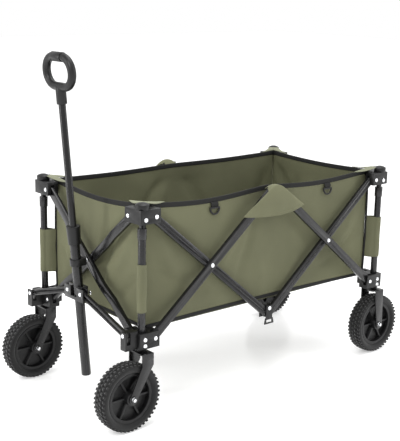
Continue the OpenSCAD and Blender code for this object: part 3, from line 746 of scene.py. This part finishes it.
# ---------------------------------------------------------------- D-rings
def d_ring(side, place, x):
    """D-ring in a folded tab of webbing under the rim, outside the side wall."""
    sign = SIDE_SIGN[side]
    y = SIDE_Y[side] - sign * INSET
    u = (x - FRONT_X - INSET) / (REAR_X - FRONT_X - 2 * INSET)
    top = side_rim_z(side, u) - 0.008
    body = f"front_{side}_upper"
    out = Vector((0, sign, 0))
    width, drop = 0.0115, 0.018

    def tab_surface(p, q):
        bulge = 0.0035 * math.sin(math.pi * min(1, q * 1.15))
        return Vector((x + (p - 0.5) * 2 * width, y + sign * (0.0012 + bulge), top - q * drop))

    squash_x(finish_piece(f"{side}_{place}_ring_tab", grid(tab_surface, 10, 12, 0.002), "black_tape", body))
    bm = bmesh.new()
    ring_r, wire = 0.0155, 0.0024
    hang = Vector((x, y + sign * 0.0042, top - drop + 0.003))
    outline = [hang + Vector((ring_r * (2 * i / 8 - 1), 0, 0)) for i in range(9)]
    outline += [hang + Vector((ring_r * math.cos(a), sign * 0.0015 * math.sin(a),
                               -ring_r * 1.05 * math.sin(a)))
                for a in [math.pi * i / 16 for i in range(1, 16)]]
    rings = []
    for i, p in enumerate(outline):
        along = (outline[(i + 1) % len(outline)] - outline[i - 1]).normalized()
        over = along.cross(out).normalized()
        rings.append([bm.verts.new(p + out * (wire * math.cos(a)) + over * (wire * math.sin(a)))
                      for a in [2 * math.pi * k / 10 for k in range(10)]])
    for i in range(len(rings)):
        a, b = rings[i], rings[(i + 1) % len(rings)]
        for k in range(10):
            bm.faces.new((a[k], a[(k + 1) % 10], b[(k + 1) % 10], b[k]))
    squash_x(finish_piece(f"{side}_{place}_d_ring", bm, "black_plastic", body))


RING_FROM_MIDDLE = {"front": -0.187, "rear": 0.233}  # read from the photo, along the wagon
for side in SIDE_SIGN:
    for place, offset in RING_FROM_MIDDLE.items():
        d_ring(side, place, MID_X + offset)


# ---------------------------------------------------------------- bright rivet heads and axle caps
RIVET_HEAD, RIVET_HEIGHT = 0.0058, 0.0030
BRACKET_HALF = 0.01605  # post axis to the foot of the heads on a corner bracket
BAR_PAIR_REACH = 0.01055  # post row to the foot of the heads on a crossed bar pair
HEAD_SEAT = 0.0024  # from the end of the CAD node's box to the foot of a bright head


def heads(name, body, places, radius=RIVET_HEAD, height=RIVET_HEIGHT):
    """Bright heads over the CAD rivets: each place is (point, axis)."""
    bm = bmesh.new()
    for point, axis in places:
        dome(bm, point, axis, radius, height)
    return finish_piece(name, bm, "bright_metal", body)


def bracket_heads(corner):
    sx = END_SIGN[corner.split("_")[0]]
    sy = SIDE_SIGN[corner.split("_")[1]]
    for level, z in (("lower", LOWER_Z), ("upper", joint("front_left_upper_pivot")["pos_m"][2])):
        places = []
        for s in (-1, 1):
            places.append((POST[corner] + Vector((-sx * PIVOT_INSET_X, s * BRACKET_HALF, z)), (0, s, 0)))
            places.append((POST[corner] + Vector((s * BRACKET_HALF, -sy * PIVOT_INSET_Y, z)), (s, 0, 0)))
            for dz in ((0.002, -0.014) if level == "lower" else (-0.004,)):
                places.append((POST[corner] + Vector((0, s * BRACKET_HALF, z + dz)), (0, s, 0)))
        heads(f"{corner}_{level}_rivet_heads", f"{corner}_{level}", places)


for corner in CORNERS:
    bracket_heads(corner)
    end, side = corner.split("_")
    sy = SIDE_SIGN[side]
    mid = Vector(joint(f"{corner}_mid_pivot")["pos_m"])
    y_post = SIDE_Y[side]
    heads(f"{corner}_mid_rivet_heads", f"{corner}_rise",
          [(Vector((mid.x, y_post + s * BAR_PAIR_REACH, mid.z)), (0, s, 0)) for s in (-1, 1)])
    wheel = Vector(joint(f"{corner}_wheel_spin")["pos_m"])
    lo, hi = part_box(f"{corner}_fork")
    body = f"{corner}_caster" if end == "front" else f"{corner}_lower"
    heads(f"{corner}_axle_caps", body,
          [(Vector((wheel.x, y, wheel.z)), (0, s, 0)) for y, s in ((lo.y + 0.0045, -1), (hi.y - 0.0045, 1))],
          radius=0.0076, height=0.0056)
for end in END_SIGN:
    crossing = Vector(joint(f"{end}_crossing")["pos_m"])
    lo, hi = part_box(f"{end}_end_bar_a")
    heads(f"{end}_crossing_heads", f"{end}_end_a",
          [(Vector((x, crossing.y, crossing.z)), (s, 0, 0))
           for x, s in ((lo.x + HEAD_SEAT, -1), (hi.x - HEAD_SEAT, 1))])
for side in SIDE_SIGN:
    sign = SIDE_SIGN[side]
    lower = Vector(joint("right_lower_centre_pivot")["pos_m"])
    heads(f"{side}_lower_centre_head", f"{side}_lower_centre",
          [(Vector((MID_X, SIDE_Y[side] + sign * 0.00305, lower.z + 0.009)), (0, sign, 0))],
          radius=0.0060, height=0.0030)
    jaw = Vector(joint("left_link_pivot")["pos_m"])
    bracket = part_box(f"front_{side}_lower_bracket")[0].x
    heads(f"{side}_link_rivet_head", f"front_{side}_lower",
          [(Vector((bracket + HEAD_SEAT, sign * abs(jaw.y), jaw.z)), (-1, 0, 0))])
hub_lo, hub_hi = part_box("handle_hub")
hub_pivot = Vector(joint("hub_left_pivot")["pos_m"])
heads("hub_rivet_heads", "handle_hub",
      [(Vector((x, s * abs(hub_pivot.y), hub_pivot.z)), (d, 0, 0))
       for s in (-1, 1) for x, d in ((hub_lo.x + HEAD_SEAT, -1), (hub_hi.x - HEAD_SEAT, 1))])


# ---------------------------------------------------------------- tyres with moulded lugs
def tyre(corner):
    """Tyre with rounded shoulders, side ribs and three rows of raised lugs."""
    centre = Vector(joint(f"{corner}_wheel_spin")["pos_m"])
    lo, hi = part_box(f"{corner}_tyre")
    outer = (hi.z - lo.z) / 2
    half = (hi.y - lo.y) / 2
    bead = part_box(f"{corner}_rim")
    inner = (bead[1].z - bead[0].z) / 2 + 0.0003
    lug_h = 0.0038
    base = outer - lug_h
    profile = [(inner, -half * 0.74), (inner + 0.004, -half * 0.9), (inner + 0.0065, -half * 0.97),
               (base - 0.008, -half), (base - 0.003, -half * 0.93), (base, -half * 0.74), (base + 0.0008, 0)]
    profile += [(r, -y) for r, y in profile[-2::-1]]
    profile += [(inner, half * 0.3), (inner, -half * 0.3)]
    bm = bmesh.new()
    segments = 120
    rings = []
    for i in range(segments):
        a = 2 * math.pi * i / segments
        rings.append([bm.verts.new(centre + Vector((r * math.cos(a), y, r * math.sin(a))))
                      for r, y in profile])
    n = len(profile)
    for i in range(segments):
        a, b = rings[i], rings[(i + 1) % segments]
        for k in range(n):
            bm.faces.new((a[k], a[(k + 1) % n], b[(k + 1) % n], b[k]))
    lugs = 44
    root_r = base - 0.002  # lugs start inside the tread, so that they don't float on it

    def lug(angle, y0, y1, wide, skew, top):
        low, high = [], []
        for t, y in ((-0.5, y0), (0.5, y0), (0.5, y1), (-0.5, y1)):
            a = angle + t * wide + (skew if y == y1 else 0.0)
            high_a = angle + t * wide * 0.78 + (skew if y == y1 else 0.0)
            inset = 0.0008 if y == y0 else -0.0008
            foot = Vector((root_r * math.cos(a), y, root_r * math.sin(a)))
            crown = Vector((top * math.cos(high_a), y + inset, top * math.sin(high_a)))
            low.append(bm.verts.new(centre + foot))
            high.append(bm.verts.new(centre + crown))
        bm.faces.new(high)
        bm.faces.new(low[::-1])
        for k in range(4):
            bm.faces.new((low[k], low[(k + 1) % 4], high[(k + 1) % 4], high[k]))

    pitch = 2 * math.pi / lugs
    for i in range(lugs):
        a = i * pitch
        lug(a, -half * 0.17, half * 0.17, pitch * 0.62, 0.0, outer - 0.0002)
        for s in (-1, 1):
            lug(a + pitch / 2, s * half * 0.26, s * half * 0.62, pitch * 0.6, pitch * 0.3, outer - 0.0006)
            lug(a, s * half * 0.70, s * half * 0.97, pitch * 0.56, pitch * 0.15, outer - 0.0032)
    obj = finish_piece(f"{corner}_treaded_tyre", bm, "tyre_rubber", f"{corner}_wheel", smooth=False)
    for p in obj.data.polygons:
        p.use_smooth = len(p.vertices) == 4 and p.area > 3e-5
    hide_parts(f"{corner}_tyre")


for corner in CORNERS:
    tyre(corner)


# ---------------------------------------------------------------- finishes and soft edges of the CAD nodes
def dress_nodes():
    """Gives every visible CAD node its finish, and a small bevel on its edges."""
    slots = {s["node"]: s["material_slot"] for s in frame["record"]["subparts"]}
    for name, obj in frame["nodes"].items():
        if obj.hide_render:
            continue
        for slot in obj.material_slots:
            slot.material = MAT[slots[name]]
        weld = obj.modifiers.new("weld", "WELD")
        weld.merge_threshold = 0.00001
        bevel = obj.modifiers.new("soft_edges", "BEVEL")
        bevel.width = 0.0007
        bevel.segments = 2
        bevel.limit_method = "ANGLE"
        bevel.angle_limit = math.radians(40)
        bevel.use_clamp_overlap = True
        bevel.harden_normals = True
        for p in obj.data.polygons:
            p.use_smooth = True


dress_nodes()


# ---------------------------------------------------------------- stage
FLOOR_GLOW = 0.36  # the floor gives off light, so that the shadows stay as faint as in the photo


def stage():
    """Pale floor, white surroundings and four soft lamps."""
    bpy.ops.mesh.primitive_plane_add(size=30, location=(0, 0, 0))
    floor = bpy.context.object
    floor.name = "studio_floor"
    mat, nodes, links, shader = new_material("studio_floor", (0.86, 0.86, 0.86), 0.18)
    shader.inputs["Emission Color"].default_value = (1, 1, 1, 1)
    shader.inputs["Emission Strength"].default_value = FLOOR_GLOW
    floor.data.materials.append(mat)
    world = bpy.data.worlds.new("studio")
    bpy.context.scene.world = world
    world.use_nodes = True
    world.node_tree.nodes["Background"].inputs["Color"].default_value = (1, 1, 1, 1)
    world.node_tree.nodes["Background"].inputs["Strength"].default_value = 1.0

    def area(name, place, target, size, power):
        light = bpy.data.lights.new(name, "AREA")
        light.shape = "RECTANGLE"
        light.size, light.size_y = size
        light.energy = power
        obj = bpy.data.objects.new(name, light)
        bpy.context.scene.collection.objects.link(obj)
        obj.location = place
        obj.rotation_euler = (Vector(target) - Vector(place)).to_track_quat("-Z", "Y").to_euler()

    area("key", (-2.6, -1.2, 2.6), (0, 0, 0.35), (1.3, 1.0), 46)
    area("top", (0.35, -0.15, 3.2), (0, 0, 0.3), (2.4, 1.8), 50)
    area("strip", (-3.0, 1.2, 1.3), (0, 0, 0.4), (0.35, 2.0), 30)
    area("rim", (2.2, -2.4, 1.5), (0, 0, 0.4), (0.35, 2.0), 22)


CAMERA_PLACE = (-1.799, -2.053, 1.072)
CAMERA_TURN = (49.5, 13.38, 1.17)  # degrees: yaw from +X towards +Y, pitch down, roll
CAMERA_LENS = 81.1


def camera():
    """Camera at the photograph's angle."""
    yaw, pitch, roll = (math.radians(a) for a in CAMERA_TURN)
    ahead = Vector((math.cos(pitch) * math.cos(yaw), math.cos(pitch) * math.sin(yaw), -math.sin(pitch)))
    right = Vector((math.sin(yaw), -math.cos(yaw), 0))
    up = right.cross(ahead)
    right, up = right * math.cos(roll) + up * math.sin(roll), up * math.cos(roll) - right * math.sin(roll)
    data = bpy.data.cameras.new("camera")
    data.sensor_fit = "VERTICAL"
    data.sensor_height = 36.0
    data.lens = CAMERA_LENS
    obj = bpy.data.objects.new("camera", data)
    bpy.context.scene.collection.objects.link(obj)
    obj.matrix_world = Matrix((
        (right.x, up.x, -ahead.x, CAMERA_PLACE[0]),
        (right.y, up.y, -ahead.y, CAMERA_PLACE[1]),
        (right.z, up.z, -ahead.z, CAMERA_PLACE[2]),
        (0, 0, 0, 1),
    ))
    bpy.context.scene.camera = obj


stage()
camera()
bpy.context.scene.view_settings.view_transform = "Standard"
